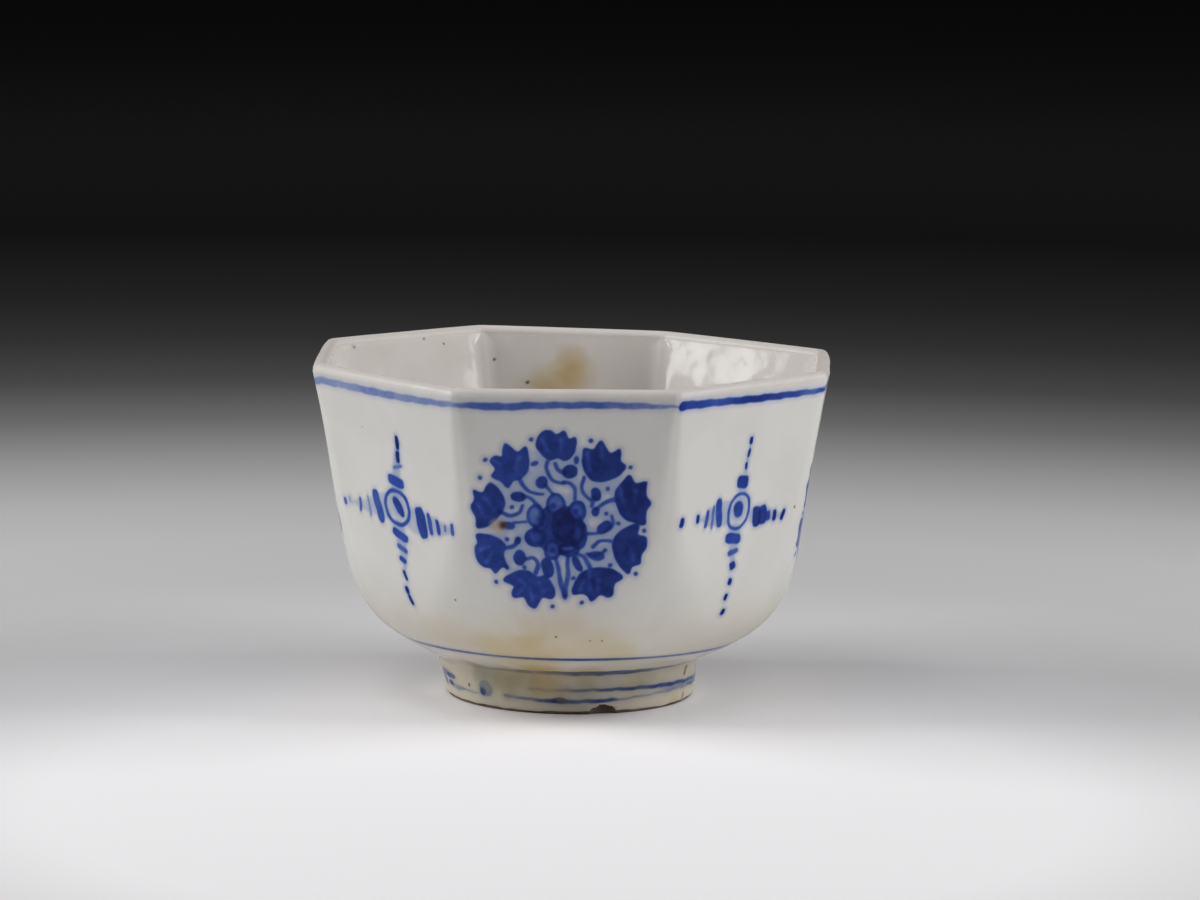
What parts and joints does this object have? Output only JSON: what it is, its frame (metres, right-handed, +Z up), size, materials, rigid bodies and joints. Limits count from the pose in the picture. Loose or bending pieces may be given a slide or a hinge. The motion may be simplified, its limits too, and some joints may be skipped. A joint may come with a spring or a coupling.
{
  "type": "eight-sided footed bowl",
  "caption": "Small glazed pottery bowl with eight flaring sides, softly ridged corners and a round foot ring, painted with cobalt lines, flower roundels and stroke crosses.",
  "frame": {"origin": "under the middle of the foot ring, at the level that the bowl stands on, which is also the middle of the whole bowl's box", "axes": "+Z up along the axis of the foot, -Y towards the front side with a flower roundel, +X to the right seen from the front"},
  "size_m": [0.1515, 0.1504, 0.1006],
  "materials": {
    "clay": "fine off-white fired clay, under the glaze",
    "bare_clay": "unglazed fired clay, matt, worn and stained brown at the foot rim",
    "white_glaze": "glossy grey-white glaze with a faint warm cast, iron specks and ochre stains",
    "cobalt": "cobalt blue painted under the glaze, pooling darker in the strokes"
  },
  "bodies": {
    "root": {"bowl_body": "clay", "foot_ring": "bare_clay", "luting_slip": "clay", "outside_glaze": "white_glaze", "inside_glaze": "white_glaze", "foot_glaze": "white_glaze", "recess_glaze": "white_glaze", "rim_line": "cobalt", "flank_line": "cobalt", "angle_line": "cobalt", "upper_foot_line": "cobalt", "lower_foot_line": "cobalt"}
  },
  "joints": []
}
